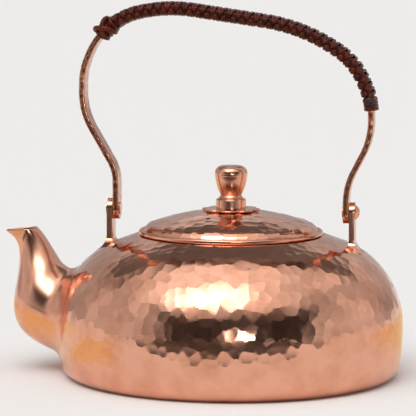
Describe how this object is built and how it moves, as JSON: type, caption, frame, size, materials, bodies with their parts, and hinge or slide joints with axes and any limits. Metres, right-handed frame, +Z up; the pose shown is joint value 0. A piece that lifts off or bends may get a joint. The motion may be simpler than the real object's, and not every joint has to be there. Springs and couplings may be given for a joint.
{
  "type": "kettle",
  "caption": "Hammered copper kettle with an S-shaped beaked spout, a swinging cord-bound bail handle and a lift-off domed lid with a turned knob.",
  "frame": {"origin": "centre of the flat base that the kettle stands on", "axes": "+Z up; the spout points along -X; the bail stands in the XZ plane and swings about X"},
  "size_m": [0.2216, 0.19, 0.2053],
  "materials": {
    "hammered_copper": "hand-hammered and polished copper, close facets",
    "copper": "smooth polished copper",
    "forged_copper": "forged copper bar with fine hammer marks",
    "cord": "tightly plaited dark reddish-brown round cord",
    "brass": "plain turned brass"
  },
  "bodies": {
    "kettle": {"body_shell": "hammered_copper", "mouth_ring": "copper", "spout": "copper", "ear_far": "copper", "ear_spout_side": "copper"},
    "bail": {"bail_bar": "forged_copper", "cord_wrap": "cord", "wrap_knot": "cord", "wrap_collar": "cord", "pin_far": "copper", "pin_spout_side": "copper"},
    "lid": {"lid_dome": "hammered_copper", "lid_rim": "copper", "lid_skirt": "copper", "rosette": "copper", "knob": "copper", "knob_stud": "brass", "knob_washer": "brass", "knob_nut": "brass"}
  },
  "joints": [
    {"name": "bail_swing", "type": "hinge", "parent": "kettle", "child": "bail", "pos_m": [0, 0, 0.09127], "axis": [1, 0, 0], "range_deg": [-112, 112]},
    {"name": "lid_lift", "type": "slide", "parent": "kettle", "child": "lid", "axis": [0, 0, 1], "range_m": [0, 0.06]}
  ]
}
